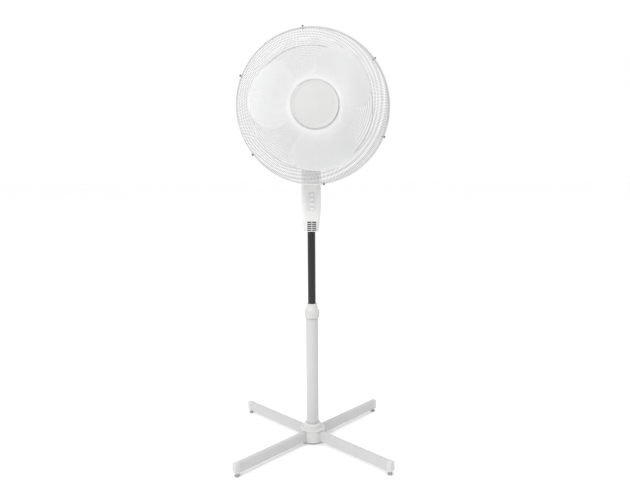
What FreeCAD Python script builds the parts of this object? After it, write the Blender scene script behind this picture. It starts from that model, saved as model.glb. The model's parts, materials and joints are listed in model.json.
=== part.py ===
import FreeCAD, Part
import math
import os
from FreeCAD import Vector

# Pedestal fan. Millimetres, +Z up, the fan blows towards -Y.
# The origin is on the floor, on the axis of the pole.
# "Forward" distances are measured from the pole axis towards -Y.

# ---------------------------------------------------------------- driving dimensions
swivel_rest = 3.5            # how far the head is turned about the pole, degrees

# cross base
leg_reach = 315.0            # pole axis to the outer end of a leg
leg_width = 15.0
leg_height = 30.0
leg_wall = 1.2
leg_corner = 2.0             # outside radius of the tube's long edges
leg_inner_end = 21.0         # pole axis to the inner end of a leg tube
leg_floor_gap = 10.0         # underside of the legs above the floor
leg_angles = {"front_left": 225.0, "front_right": 315.0, "rear_right": 45.0, "rear_left": 135.0}
cap_length = 15.0            # visible length of a leg end cap
cap_wall = 0.7
cap_plug = 20.0              # length of the cap's plug inside the tube
cap_chamfer = 8.0
foot_inset = 9.0             # end of the leg to the centre of the foot
foot_radius = 7.5
foot_disc = 4.0
foot_neck_radius = 5.0
foot_stud_radius = 3.0
foot_stud_length = 10.0
hub_radius = 37.0
hub_bottom = 5.0
hub_wall_over_legs = 1.0
cover_radius = 38.5
cover_height = 5.0
cover_neck_radius = 27.4
cover_neck_height = 15.0
leg_screw_radius = 2.0
leg_screw_place = 29.0
pole_bolt_radius = 4.0

# pole, collar and inner tube
pole_radius = 19.0
pole_wall = 1.2
pole_bottom = 18.0
pole_top = 425.0
tube_radius = 12.0
tube_wall = 1.2
tube_bottom = 256.0
insert_length = 40.0
insert_flange = 3.0
insert_thread_height = 12.0
insert_thread_radius = 17.0
collet_wall = 3.0
collet_length = 40.0
collar_drop = 22.0           # how far the collar's skirt reaches below the pole's top
collar_wall = 2.6
collar_grip_height = 24.0
collar_rib_count = 24
collar_rib_depth = 1.2
collar_top_radius = 15.7
collar_cone_height = 8.0

# control housing
housing_bottom = 671.0
housing_top = 870.0
housing_wall = 2.5
housing_corner = 9.0
housing_half_width = 30.6
housing_half_depth = 28.0
housing_foot_half_width = 18.0
housing_foot_half_depth = 21.0
taper_height = 110.0         # above this height the housing is straight
taper_power = 2.1
taper_steps = 7
tube_in_housing = 59.0       # how far the inner tube reaches into the housing
button_names = ["button_off", "button_low", "button_medium", "button_high"]
button_width = 12.0
button_height = 9.0
button_pitch = 14.0
button_stand = 3.4           # how far a button stands out of its panel
button_travel = 3.0
first_button_height = 111.0  # top button's centre above the housing's bottom
panel_half_width = 13.0
panel_margin = 12.0
panel_face = 26.7            # forward distance of the panel's floor
switch_front = 12.0
vent_rows = 5
vent_pitch = 6.0
vent_height = 3.8
vent_width = 12.6
vent_post = 1.8
vent_groove_end = 6.0        # forward distance where the grooves stop on the sides
first_vent_height = 2.6
vent_groove_depth = 1.0      # grooves that carry the vents' lines round the sides
shell_screw_radius = 1.5
shell_screw_head = 3.0
shell_boss_radius = 4.5
shell_screw_depth = 13.0     # reach of the screw on both sides of the shells' joint
# distance beside the pole axis and height above the housing's bottom
shell_screw_places = [(-21.5, 184.0), (21.5, 184.0), (-19.0, 50.0), (19.0, 50.0)]
tube_screw_height = 45.0
tube_screw_radius = 2.4
tube_screw_head = 5.0
tube_screw_seat = 22.0
tube_boss_radius = 7.0
bracket_screw_radius = 2.0
bracket_screw_place = 10.0

# tilt bracket and neck
bracket_plate = 4.0
bracket_half_width = 21.0
bracket_cheek = 4.0
bracket_half_depth = 14.0
tilt_height = 905.0
lug_radius = 13.0
tilt_bolt_radius = 4.0
tilt_knob_radius = 14.0
tilt_knob_length = 16.0
platform_height = 932.0
platform_thickness = 6.0
platform_radius = 27.0
neck_boss_radius = 9.0
neck_boss_height = 8.5
washer_thickness = 0.8
pivot_radius = 6.0
pivot_length = 50.0

# motor
motor_height = 1026.0
cover_outer = 57.0
cover_wall = 2.5
cover_split = 14.0           # forward distance of the joint between the motor covers
cover_front = 66.0
cover_rear_straight = 40.0   # distance behind the pole axis where the rear dome starts
cover_rear_dome = 26.0
shield_radius = 44.0
shield_rear = 17.0
front_shield_face = 60.0
shield_skin = 3.0
shield_wall = 4.0
bearing_boss_radius = 11.0
motor_screw_circle = 38.5
motor_screw_radius = 2.0
motor_screw_angles = (45, 135, 225, 315)
stator_radius = 43.0
stator_bore = 22.0
stator_front = 51.0
stator_rear = 29.0
winding_overhang = 5.0
rotor_gap = 0.5
shaft_radius = 4.0
shaft_rear_radius = 3.0
shaft_front = 138.0
bearing_radius = 7.0
bearing_length = 8.0
nose_radius = 19.0           # threaded nose that carries the rear grille
nose_length = 12.0
grille_nut_radius = 30.0
grille_nut_length = 8.0

# oscillation gear
case_half_width = 31.5
case_front = 2.0             # distances behind the pole axis
case_rear = 52.0
case_corner = 9.0
case_bottom = 992.0
case_top = 1050.0
case_wall = 2.5
pivot_boss_radius = 12.0
worm_radius = 5.0
worm_length = 20.0
worm_pitch = 3.0
gear_gap = 0.3
worm_wheel_radius = 10.2
worm_wheel_teeth = 36
pinion_radius = 5.0
pinion_teeth = 10
crank_gear_radius = 19.6
crank_gear_teeth = 40
crank_place = Vector(9.0, 29.0, 0)
wheel_depth = 24.0           # worm wheel axis behind the pole axis
crank_radius = 14.3
crank_disc_radius = 17.5
crank_disc_bottom = 950.5
crank_disc_thickness = 5.0
crank_shaft_radius = 3.0
link_stud_place = Vector(22.0, 4.0, 0)
link_length = 27.2
link_width = 8.0
link_thickness = 3.0
link_rise = 4.5              # above the neck's platform
stud_radius = 3.0
clutch_shaft_radius = 2.5
knob_radius = 8.0
knob_height = 14.0

# guard
rim_radius = 211.0
rim_wire = 2.4               # radius of the rim wires
rim_forward = 118.0
rim_spacing = 6.5            # between the two rim wires
grille_wire = 1.0            # radius of the guard's wires
wire_pairs = 90              # long wires; as many short ones lie between them
wire_swirl = 45.0            # distance of each wire's line from the motor axis
ring_wire = 1.5
centre_ring_radius = 60.5
middle_ring_radius = 118.0
outer_ring_radius = 172.0
front_depth = 54.0
rear_depth = 47.0
dome_power = 2.6
wire_steps = 6
plate_thickness = 1.2
cap_radius = 62.5
cap_rise = 5.0
cap_shell = 2.4
clip_count = 6
clip_first_angle = 37.5
clip_width = 4.6
clip_wall = 1.2

# fan blade
blade_count = 3
blade_tip = 179.0
blade_first_angle = 2.0
blade_rear = 84.0
blade_rise = 46.0
blade_camber = 5.0
blade_thickness = 2.2
blade_hub_radius = 36.0
blade_hub_rear = 82.0
blade_hub_front = 126.0
blade_hub_wall = 2.2
spinner_radius = 13.0

# clearances
snug = 0.05                  # pieces fixed together
running = 0.08               # turning and sliding fits, on the radius
loose = 0.3                  # moving pieces that only pass each other

origin = Vector(0, 0, 0)
up = Vector(0, 0, 1)
right = Vector(1, 0, 0)
back = Vector(0, 1, 0)


# ---------------------------------------------------------------- helpers
def rod(radius, start, end):
    """A solid cylinder between two points."""
    return Part.makeCylinder(radius, (end - start).Length, start, end - start)


def pipe(outer, inner, start, end):
    """A hollow cylinder between two points."""
    return rod(outer, start, end).cut(rod(inner, start, end))


def upright(radius, low, high, x=0.0, y=0.0):
    """A vertical cylinder."""
    return rod(radius, Vector(x, y, low), Vector(x, y, high))


def upright_pipe(outer, inner, low, high, x=0.0, y=0.0):
    """A vertical hollow cylinder."""
    return pipe(outer, inner, Vector(x, y, low), Vector(x, y, high))


def forward(distance, x=0.0, z=0.0):
    """A point a forward distance from the pole axis, beside and above the motor axis."""
    return Vector(x, -distance, motor_height + z)


def motor_rod(radius, near, far, x=0.0, z=0.0):
    """A cylinder parallel to the motor shaft between two forward distances."""
    return rod(radius, forward(near, x, z), forward(far, x, z))


def motor_pipe(outer, inner, near, far, x=0.0, z=0.0):
    """A hollow cylinder parallel to the motor shaft."""
    return pipe(outer, inner, forward(near, x, z), forward(far, x, z))


def block(x0, x1, y0, y1, z0, z1):
    """A box between two corners."""
    return Part.makeBox(x1 - x0, y1 - y0, z1 - z0, Vector(x0, y0, z0))


def face_of(points):
    """A flat face inside a closed polygon."""
    return Part.Face(Part.makePolygon(points + [points[0]]))


def beam(x0, x1, half_width, low, high, corner):
    """A bar along X with its long edges rounded."""
    body = block(x0, x1, -half_width, half_width, low, high)
    edges = [e for e in body.Edges if abs(e.CenterOfMass.x - (x0 + x1) / 2) < 0.01]
    return body.makeFillet(corner, edges)


def turned(outline, angle=360.0):
    """Revolve (radius, height) points about the Z axis."""
    points = [Vector(r, 0, z) for r, z in outline]
    return face_of(points).revolve(origin, up, angle)


def turned_on_motor(outline):
    """Revolve (radius, forward distance) points about the motor axis."""
    points = [Vector(r, -d, motor_height) for r, d in outline]
    return face_of(points).revolve(forward(0), back, 360.0)


def ring_of(shape, count, axis_point, axis, first=0.0):
    """Copies of a shape spaced evenly about an axis."""
    copies = []
    for k in range(count):
        copy = shape.copy()
        copy.rotate(axis_point, axis, first + 360.0 * k / count)
        copies.append(copy)
    return copies


def one_solid(shape):
    """The single solid that a boolean operation left."""
    return shape.removeSplitter().Solids[0]


def rounded_section(half_width, half_depth, corner, z):
    """A rounded rectangle at a height, as a closed wire."""
    edges = []
    corners = [(1, 1, 0), (-1, 1, 90), (-1, -1, 180), (1, -1, 270)]
    arcs = []
    for sx, sy, start in corners:
        centre = Vector(sx * (half_width - corner), sy * (half_depth - corner), z)
        arcs.append(Part.makeCircle(corner, centre, up, start, start + 90))
    for arc, following in zip(arcs, arcs[1:] + arcs[:1]):
        edges.append(arc)
        end = arc.Vertexes[-1].Point
        edges.append(Part.makeLine(end, following.Vertexes[0].Point))
    return Part.Wire(edges)


def gear(tip, teeth, low, high, place, bore):
    """A spur gear with straight-sided teeth and a round bore."""
    root = tip - 1.6 * tip / teeth * math.pi / 2
    points = []
    for k in range(teeth):
        for share, radius in ((0.0, root), (0.3, root), (0.45, tip), (0.85, tip)):
            turn = 2 * math.pi * (k + share) / teeth
            points.append(Vector(radius * math.cos(turn), radius * math.sin(turn), low) + place)
    body = face_of(points).extrude(Vector(0, 0, high - low))
    return body.cut(upright(bore, low, high, place.x, place.y))


# ---------------------------------------------------------------- derived places
leg_top = leg_floor_gap + leg_height
cap_inner = leg_reach - cap_length
foot_place = leg_reach - foot_inset
hub_top = leg_top + hub_wall_over_legs
flange_bottom = hub_top
flange_top = flange_bottom + cover_height
insert_bottom = pole_top - insert_length
insert_top = pole_top + insert_flange + insert_thread_height
collet_outer = tube_radius + running + collet_wall
collet_top = insert_top + 1.0
collet_bottom = collet_top - collet_length
collar_bottom = pole_top - collar_drop
collar_top = collet_top + loose + 5.4
collar_outer = pole_radius + loose + collar_wall + collar_rib_depth
tube_top = housing_bottom + tube_in_housing
bracket_bottom = housing_top
platform_top = platform_height + platform_thickness
link_bottom = platform_top + link_rise
link_top = link_bottom + link_thickness
neck_boss_top = platform_top + neck_boss_height
boss_bottom = neck_boss_top + washer_thickness + running
pivot_top = platform_top + pivot_length
front_rim = rim_forward + rim_spacing / 2
rear_rim = rim_forward - rim_spacing / 2
worm_wheel_place = Vector(-(worm_radius + gear_gap + worm_wheel_radius), wheel_depth, 0)
button_heights = [housing_bottom + first_button_height - k * button_pitch for k in range(4)]


# ---------------------------------------------------------------- cross base
def turn_to_leg(shape, angle):
    """Turn a shape made along +X to its leg's direction."""
    shape.rotate(origin, up, angle)
    return shape


def leg_tube(angle):
    """Rectangular tube on edge, with a screw hole in its underside."""
    half = leg_width / 2
    end = cap_inner + 2.0
    tube = beam(leg_inner_end, end, half, leg_floor_gap, leg_top, leg_corner)
    hollow = beam(leg_inner_end, end, half - leg_wall, leg_floor_gap + leg_wall, leg_top - leg_wall,
                  leg_corner - leg_wall)
    hole = upright(leg_screw_radius + snug, leg_floor_gap, leg_floor_gap + leg_wall, leg_screw_place)
    return turn_to_leg(tube.cut(hollow).cut(hole), angle)


def leg_end_cap(angle):
    """Cap with a sleeve round the tube, a plug inside it and a chamfered lower corner."""
    half = leg_width / 2 + cap_wall
    low = leg_floor_gap - cap_wall
    high = leg_top + cap_wall
    body = beam(cap_inner, leg_reach, half, low, high, leg_corner + cap_wall)
    wedge = face_of([
        Vector(leg_reach, -half, low),
        Vector(leg_reach, -half, low + cap_chamfer),
        Vector(leg_reach - cap_chamfer / 2, -half, low),
    ]).extrude(Vector(0, 2 * half, 0))
    seat = leg_width / 2 + snug
    pocket = block(cap_inner, cap_inner + 2.0 + snug, -seat, seat, leg_floor_gap - snug, leg_top + snug)
    inside = leg_width / 2 - leg_wall - snug
    plug = beam(cap_inner - cap_plug, cap_inner + 3.0, inside, leg_floor_gap + leg_wall + snug,
                leg_top - leg_wall - snug, leg_corner - leg_wall + snug)
    stud_hole = upright(foot_stud_radius + snug, low, low + foot_stud_length + 0.5, foot_place)
    cap = body.cut(wedge).cut(pocket).fuse(plug).cut(stud_hole)
    return turn_to_leg(one_solid(cap), angle)


def foot_pad(angle):
    """Round levelling foot: a disc, a neck and a stud in the cap."""
    neck_top = leg_floor_gap - cap_wall
    outline = [
        (0, 0), (foot_radius - 1, 0), (foot_radius, 1), (foot_radius, foot_disc - 1),
        (foot_radius - 1, foot_disc), (foot_neck_radius, foot_disc), (foot_neck_radius, neck_top),
        (foot_stud_radius, neck_top), (foot_stud_radius, neck_top + foot_stud_length),
        (0, neck_top + foot_stud_length),
    ]
    pad = turned(outline)
    pad.translate(Vector(foot_place, 0, 0))
    return turn_to_leg(pad, angle)


def leg_screw(angle):
    """Screw from under the hub into a leg."""
    head_top = hub_bottom + 2.7
    head = upright(leg_screw_radius * 2, hub_bottom + 0.2, head_top, leg_screw_place)
    shank = upright(leg_screw_radius, head_top, leg_floor_gap + leg_wall + 3.0, leg_screw_place)
    return turn_to_leg(head.fuse(shank), angle)


def base_hub():
    """Round hub with a pole socket and four leg sockets."""
    hub = upright(hub_radius, hub_bottom, hub_top)
    hub = hub.cut(upright(pole_radius + snug, pole_bottom, hub_top))
    hub = hub.cut(upright(pole_bolt_radius + snug, hub_bottom, pole_bottom))
    hub = hub.cut(upright(10.0, hub_bottom, hub_bottom + 6.0))
    half = leg_width / 2 + snug
    for angle in leg_angles.values():
        socket = block(leg_inner_end - snug, hub_radius + 1, -half, half,
                       leg_floor_gap - snug, leg_top + snug)
        head = upright(leg_screw_radius * 2 + 0.2, hub_bottom, hub_bottom + 2.7, leg_screw_place)
        shank = upright(leg_screw_radius + snug, hub_bottom, leg_floor_gap, leg_screw_place)
        hub = hub.cut(turn_to_leg(socket.fuse(head).fuse(shank), angle))
    return one_solid(hub)


def base_cover():
    """Flange ring over the hub with a raised neck round the pole."""
    bore = pole_radius + snug
    neck_top = flange_top + cover_neck_height
    outline = [
        (bore, flange_bottom), (cover_radius, flange_bottom), (cover_radius, flange_top - 2.0),
        (cover_radius - 2.5, flange_top), (cover_neck_radius + 2.0, flange_top),
        (cover_neck_radius, flange_top + 2.0), (cover_neck_radius, neck_top - 5.0),
        (cover_neck_radius - 3.0, neck_top - 1.2), (bore + 2.0, neck_top), (bore, neck_top),
    ]
    return turned(outline)


def pole_plug():
    """Threaded disc in the foot of the pole."""
    low = pole_bottom
    plug = upright(pole_radius - pole_wall - snug, low, low + 10.0)
    return plug.cut(upright(pole_bolt_radius + snug, low, low + 10.0))


def pole_bolt():
    """Bolt and washer that hold the pole to the hub."""
    seat = hub_bottom + 6.0
    washer = upright(9.0, seat - 1.2, seat)
    flats = [Vector(6.5 * math.cos(math.radians(60 * k)), 6.5 * math.sin(math.radians(60 * k)), seat - 5.4)
             for k in range(6)]
    head = face_of(flats).extrude(Vector(0, 0, 4.4))
    shank = upright(pole_bolt_radius, seat - 1.2, pole_bottom + 12.0)
    return one_solid(washer.fuse(head).fuse(shank))


def outer_pole():
    """Outer pole tube."""
    return upright_pipe(pole_radius, pole_radius - pole_wall, pole_bottom, pole_top)


# ---------------------------------------------------------------- height adjustment
def pole_insert():
    """Threaded bush in the pole's top, with a shoulder under the collet."""
    bore = collet_outer + running
    outline = [
        (bore - 1.6, insert_bottom), (pole_radius - pole_wall - snug, insert_bottom),
        (pole_radius - pole_wall - snug, pole_top), (pole_radius, pole_top),
        (pole_radius, pole_top + insert_flange), (insert_thread_radius, pole_top + insert_flange),
        (insert_thread_radius, insert_top), (bore, insert_top), (bore, collet_bottom - loose),
        (bore - 1.6, collet_bottom - loose),
    ]
    return turned(outline)


def collet():
    """Sleeve that grips the inner tube."""
    return upright_pipe(collet_outer, tube_radius + running, collet_bottom, collet_top)


def height_collar():
    """Collar nut: a ribbed skirt round the pole, a cone and a lip over the collet."""
    grip_top = collar_bottom + collar_grip_height
    skirt = pole_radius + loose + collar_wall
    outline = [
        (pole_radius + loose, collar_bottom), (collar_outer, collar_bottom),
        (collar_outer, collar_bottom + 2.0), (skirt, collar_bottom + 3.0), (skirt, grip_top - 1.5),
        (skirt - 1.5, grip_top), (collar_top_radius + 1.0, grip_top + collar_cone_height),
        (collar_top_radius, collar_top - 1.0), (collar_top_radius - 1.0, collar_top),
        (tube_radius + 0.6, collar_top), (tube_radius + 0.6, collet_top + loose),
        (insert_thread_radius - 0.6, collet_top + loose),
        (insert_thread_radius + 0.2, collet_top - 0.8), (insert_thread_radius + 0.2, grip_top + 1.3),
        (pole_radius + loose, pole_top + insert_flange + 0.4),
    ]
    collar = turned(outline)
    rib = upright(collar_rib_depth + 0.3, collar_bottom + 2.0, grip_top - 2.0, skirt - 0.3)
    for copy in ring_of(rib, collar_rib_count, origin, up):
        collar = collar.fuse(copy)
    return one_solid(collar)


def inner_tube():
    """Height tube, with a hole for the housing's clamp screw."""
    tube = upright_pipe(tube_radius, tube_radius - tube_wall, tube_bottom, tube_top)
    z = housing_bottom + tube_screw_height
    return tube.cut(rod(tube_screw_radius + snug, Vector(0, 0, z), Vector(0, 2 * tube_radius, z)))


# ---------------------------------------------------------------- control housing
def housing_section(height, inset):
    """Outline of the housing at a height above its bottom, made smaller by an inset."""
    rest = max(0.0, 1 - height / taper_height) ** taper_power
    half_width = housing_half_width - (housing_half_width - housing_foot_half_width) * rest
    half_depth = housing_half_depth - (housing_half_depth - housing_foot_half_depth) * rest
    return rounded_section(half_width - inset, half_depth - inset, housing_corner - inset,
                           housing_bottom + height)


def housing_body(inset):
    """Tapered body of the housing, made smaller all round by an inset."""
    heights = [inset + (taper_height - inset) * k / taper_steps for k in range(taper_steps + 1)]
    tapered = Part.makeLoft([housing_section(height, inset) for height in heights], True)
    straight_height = housing_top - inset - housing_bottom - taper_height
    straight = Part.Face(housing_section(taper_height, inset)).extrude(Vector(0, 0, straight_height))
    return tapered.fuse(straight)


def housing_half(front):
    """One shell of the housing, with its screw bosses."""
    outer = housing_body(0)
    shell = outer.cut(housing_body(housing_wall))
    depth = housing_half_depth
    for x, height in shell_screw_places:
        z = housing_bottom + height
        boss = rod(shell_boss_radius, Vector(x, -depth, z), Vector(x, depth, z))
        shell = shell.fuse(boss.common(outer))
    z = housing_bottom + tube_screw_height
    clamp_boss = rod(tube_boss_radius, Vector(0, tube_radius, z), Vector(0, depth, z))
    shell = shell.fuse(clamp_boss.common(outer))
    reach = 2 * depth
    if front:
        half = block(-reach, reach, -reach, 0, housing_bottom, housing_top)
    else:
        half = block(-reach, reach, 0, reach, housing_bottom, housing_top)
    return shell.common(half).cut(upright(tube_radius + snug, housing_bottom, tube_top))


def panel_shape(depth_from, depth_to):
    """Oval of the button panel as a prism between two forward distances."""
    low = button_heights[-1] - panel_margin
    high = button_heights[0] + panel_margin
    radius = panel_half_width
    a = Vector(0, -depth_from, low + radius)
    b = Vector(0, -depth_from, high - radius)
    ends = Vector(0, depth_from - depth_to, 0)
    shape = block(-radius, radius, -depth_to, -depth_from, low + radius, high - radius)
    shape = shape.fuse(rod(radius, a, a + ends))
    return shape.fuse(rod(radius, b, b + ends))


def control_housing_front():
    """Front shell with the button panel, the button openings and the vents."""
    far = 2 * housing_half_depth
    shell = housing_half(True)
    shell = shell.cut(panel_shape(panel_face, far))
    gap = 0.25
    for z in button_heights:
        opening = block(-button_width / 2 - gap, button_width / 2 + gap, -far, -panel_face + 6,
                        z - button_height / 2 - gap, z + button_height / 2 + gap)
        shell = shell.cut(opening)
    band = housing_body(0).cut(housing_body(vent_groove_depth))
    for row in range(vent_rows):
        z = housing_bottom + first_vent_height + row * vent_pitch
        shell = shell.cut(band.common(block(-far, far, -far, -vent_groove_end, z, z + vent_height)))
        for side in (-1, 1):
            x = side * (vent_width + vent_post) / 2
            shell = shell.cut(block(x - vent_width / 2, x + vent_width / 2, -far, -tube_radius - 2,
                                    z, z + vent_height))
    for x, height in shell_screw_places:
        z = housing_bottom + height
        start = Vector(x, -shell_screw_depth - 1, z)
        shell = shell.cut(rod(shell_screw_radius + snug, start, Vector(x, 0, z)))
    hole = upright(bracket_screw_radius + snug, housing_top - 10, housing_top, 0, -bracket_screw_place)
    return one_solid(shell.cut(hole))


def control_housing_rear():
    """Rear shell with counterbored screw holes."""
    shell = housing_half(False)
    far = 2 * housing_half_depth
    for x, height in shell_screw_places:
        z = housing_bottom + height
        seat = Vector(x, shell_screw_depth + 3, z)
        shell = shell.cut(rod(shell_screw_radius + snug, Vector(x, 0, z), seat))
        shell = shell.cut(rod(shell_screw_head + 0.2, seat, Vector(x, far, z)))
    z = housing_bottom + tube_screw_height
    seat = Vector(0, tube_screw_seat, z)
    shell = shell.cut(rod(tube_screw_radius + snug, Vector(0, 0, z), seat))
    shell = shell.cut(rod(tube_screw_head + 0.2, seat, Vector(0, far, z)))
    hole = upright(bracket_screw_radius + snug, housing_top - 10, housing_top, 0, bracket_screw_place)
    return one_solid(shell.cut(hole))


def housing_screw(x, height):
    """One shell screw."""
    z = housing_bottom + height
    seat = Vector(x, shell_screw_depth + 3, z)
    shank = rod(shell_screw_radius, Vector(x, -shell_screw_depth, z), seat)
    return shank.fuse(rod(shell_screw_head, seat, seat + back * 2.5))


def tube_screw():
    """Screw through the rear shell into the inner tube."""
    seat = Vector(0, tube_screw_seat, housing_bottom + tube_screw_height)
    shank = rod(tube_screw_radius, seat - back * 14, seat)
    return shank.fuse(rod(tube_screw_head, seat, seat + back * 3))


def switch_block():
    """Body of the speed switch behind the buttons."""
    low = button_heights[-1] - 7
    high = button_heights[0] + 7
    body = block(-12, 12, -switch_front, 6, low, high)
    feet = []
    for side in (-1, 1):
        feet.append(block(side * 19 - 8, side * 19 + 8, -2, 2, low + 4, low + 12))
        feet.append(block(side * 19 - 8, side * 19 + 8, -2, 2, high - 12, high - 4))
    for foot in feet:
        body = body.fuse(foot)
    inside = housing_body(housing_wall + snug)
    return one_solid(body.common(inside))


def speed_button(z):
    """Push button: a rounded cap, a retaining flange and a stem."""
    face = panel_face + button_stand
    cap = block(-button_width / 2, button_width / 2, -face, -panel_face + 4,
                z - button_height / 2, z + button_height / 2)
    edges = [e for e in cap.Edges if abs(e.CenterOfMass.y + face) < 0.01]
    cap = cap.makeFillet(1.4, edges)
    wall_inside = housing_half_depth - housing_wall
    flange_front = wall_inside - 1.6
    flange = block(-7.6, 7.6, -flange_front, -flange_front + 1.6, z - 5.8, z + 5.8)
    stem_end = switch_front + button_travel + 0.5
    stem = block(-3, 3, -flange_front, -stem_end, z - 2.5, z + 2.5)
    return one_solid(cap.fuse(flange).fuse(stem))


# ---------------------------------------------------------------- tilt joint and neck
def tilt_bracket():
    """U bracket on the housing: a plate and two round-topped cheeks."""
    plate_top = bracket_bottom + bracket_plate
    half_depth = bracket_half_depth
    bracket = block(-bracket_half_width - 2, bracket_half_width + 2, -half_depth - 3, half_depth + 3,
                    bracket_bottom, plate_top)
    for side in (-1, 1):
        outer = side * bracket_half_width
        inner = side * (bracket_half_width - bracket_cheek)
        x0, x1 = min(outer, inner), max(outer, inner)
        bracket = bracket.fuse(block(x0, x1, -half_depth, half_depth, plate_top - 1, tilt_height))
        bracket = bracket.fuse(rod(half_depth, Vector(x0, 0, tilt_height), Vector(x1, 0, tilt_height)))
    bore = rod(tilt_bolt_radius + snug, Vector(-40, 0, tilt_height), Vector(40, 0, tilt_height))
    bracket = bracket.cut(bore)
    for y in (-bracket_screw_place, bracket_screw_place):
        bracket = bracket.cut(upright(bracket_screw_radius + snug, bracket_bottom, plate_top, 0, y))
    return one_solid(bracket)


def bracket_screw(y):
    """Screw that holds the bracket to a housing shell."""
    plate_top = bracket_bottom + bracket_plate
    shank = upright(bracket_screw_radius, bracket_bottom - 9, plate_top, 0, y)
    return shank.fuse(upright(bracket_screw_radius * 1.8, plate_top, plate_top + 2.2, 0, y))


def tilt_bolt():
    """Bolt on the tilt axis, with its head beside the left cheek."""
    x = bracket_half_width
    shank = rod(tilt_bolt_radius, Vector(-x, 0, tilt_height), Vector(x + 12, 0, tilt_height))
    return shank.fuse(rod(7.5, Vector(-x - 4, 0, tilt_height), Vector(-x, 0, tilt_height)))


def tilt_knob():
    """Hand knob on the end of the tilt bolt, with grip flutes."""
    x = bracket_half_width + loose
    end = x + tilt_knob_length
    knob = rod(tilt_knob_radius, Vector(x + 3, 0, tilt_height), Vector(end, 0, tilt_height))
    edges = [e for e in knob.Edges if abs(e.CenterOfMass.x - end) < 0.01]
    knob = knob.makeFillet(2.0, edges)
    knob = knob.fuse(rod(8.0, Vector(x, 0, tilt_height), Vector(x + 4, 0, tilt_height)))
    flute = rod(3.0, Vector(x + 3, 0, tilt_height + tilt_knob_radius + 1.2),
                Vector(end, 0, tilt_height + tilt_knob_radius + 1.2))
    for copy in ring_of(flute, 8, Vector(0, 0, tilt_height), right):
        knob = knob.cut(copy)
    bore = rod(tilt_bolt_radius + running, Vector(x, 0, tilt_height), Vector(end - 3, 0, tilt_height))
    return one_solid(knob.cut(bore))


def neck():
    """Tilt lug, platform, boss and oscillation pivot, with the stud of the crank link."""
    half = bracket_half_width - bracket_cheek - 0.2
    body = rod(lug_radius, Vector(-half, 0, tilt_height), Vector(half, 0, tilt_height))
    body = body.fuse(block(-half, half, -lug_radius + 1, lug_radius - 1, tilt_height, platform_height + 1))
    body = body.cut(rod(tilt_bolt_radius + running, Vector(-40, 0, tilt_height), Vector(40, 0, tilt_height)))
    platform = upright(platform_radius, platform_height, platform_top)
    rims = [e for e in platform.Edges if len(e.Vertexes) == 1]
    body = body.fuse(platform.makeFillet(2.0, rims))
    body = body.fuse(upright(neck_boss_radius, platform_top - 1, neck_boss_top))
    body = body.fuse(upright(pivot_radius, neck_boss_top - 1, pivot_top))
    groove = upright_pipe(pivot_radius + 1, pivot_radius - 1, pivot_top - 2.4, pivot_top - 1.2)
    stud = upright(stud_radius, platform_top - 1, link_top + 1.5, link_stud_place.x, link_stud_place.y)
    return one_solid(body.cut(groove).fuse(stud))


def thrust_washer():
    """Washer between the neck and the head."""
    top = neck_boss_top + washer_thickness
    return upright_pipe(pivot_boss_radius, pivot_radius + snug, neck_boss_top, top)


def pivot_clip():
    """Spring clip in the pivot's groove."""
    low = pivot_top - 2.4 + snug
    clip = upright_pipe(pivot_radius + 2.4, pivot_radius - 1 + snug, low, pivot_top - 1.2 - snug)
    slot = block(0, 20, -3.5, 3.5, low - 1, pivot_top)
    return one_solid(clip.cut(slot))


def crank_pin_place():
    """Where the crank pin is when the link and the crank close their triangle."""
    span = crank_place - link_stud_place
    reach = span.Length
    along = (link_length ** 2 - crank_radius ** 2 + reach ** 2) / (2 * reach)
    aside = math.sqrt(link_length ** 2 - along ** 2)
    direction = Vector(span.x / reach, span.y / reach, 0)
    normal = Vector(direction.y, -direction.x, 0)
    return link_stud_place + direction * along + normal * aside


def crank_link():
    """Flat link from the neck's stud to under the crank pin."""
    pin = crank_pin_place()
    x, y = link_stud_place.x, link_stud_place.y
    bar = block(0, link_length, -link_width / 2, link_width / 2, link_bottom, link_top)
    turn = math.degrees(math.atan2(pin.y - y, pin.x - x))
    bar.rotate(origin, up, turn)
    bar.translate(Vector(x, y, 0))
    link = bar.fuse(upright(link_width / 2 + 1.5, link_bottom, link_top, x, y))
    link = link.fuse(upright(link_width / 2 + 1.5, link_bottom, link_top, pin.x, pin.y))
    link = link.cut(upright(stud_radius + running, link_bottom, link_top, x, y))
    return one_solid(link.cut(upright(2.6, link_bottom, link_top, pin.x, pin.y)))


# ---------------------------------------------------------------- oscillation gear
def case_block(inset, low, high):
    """Block of the gearbox with its rear corners rounded, made smaller by an inset."""
    w = case_half_width - inset
    body = block(-w, w, case_front + inset, case_rear - inset, low, high)
    corners = [e for e in body.Edges if abs(e.CenterOfMass.y - case_rear + inset) < 0.01
               and abs(abs(e.CenterOfMass.x) - w) < 0.01]
    return body.makeFillet(case_corner - inset, corners)


def gearbox_case():
    """Die-cast case with the pivot boss and the crank shaft's boss."""
    case = case_block(0, case_bottom, case_top - case_wall)
    case = case.fuse(upright(pivot_boss_radius, boss_bottom, case_bottom + 2))
    case = case.fuse(block(-pivot_boss_radius, pivot_boss_radius, -pivot_boss_radius, case_front + 1,
                           case_bottom - 14, case_bottom + 2))
    case = case.fuse(upright(7.0, crank_disc_bottom + crank_disc_thickness + loose, case_bottom + 1,
                             crank_place.x, crank_place.y))
    for x in (-20, 20):
        case = case.fuse(motor_rod(4.0, -case_front - 1, shield_rear, x, 14))
    case = case.cut(case_block(case_wall, case_bottom + case_wall, case_top))
    case = case.cut(upright(pivot_radius + running, boss_bottom, pivot_top + 0.6))
    case = case.cut(upright(pivot_radius + 3.2, pivot_top - 2.6, pivot_top + 0.6))
    case = case.cut(upright(crank_shaft_radius + running, crank_disc_bottom, case_bottom + 10,
                            crank_place.x, crank_place.y))
    return one_solid(case.cut(motor_rod(shaft_radius + 1, -case_front - case_wall, -case_front)))


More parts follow.
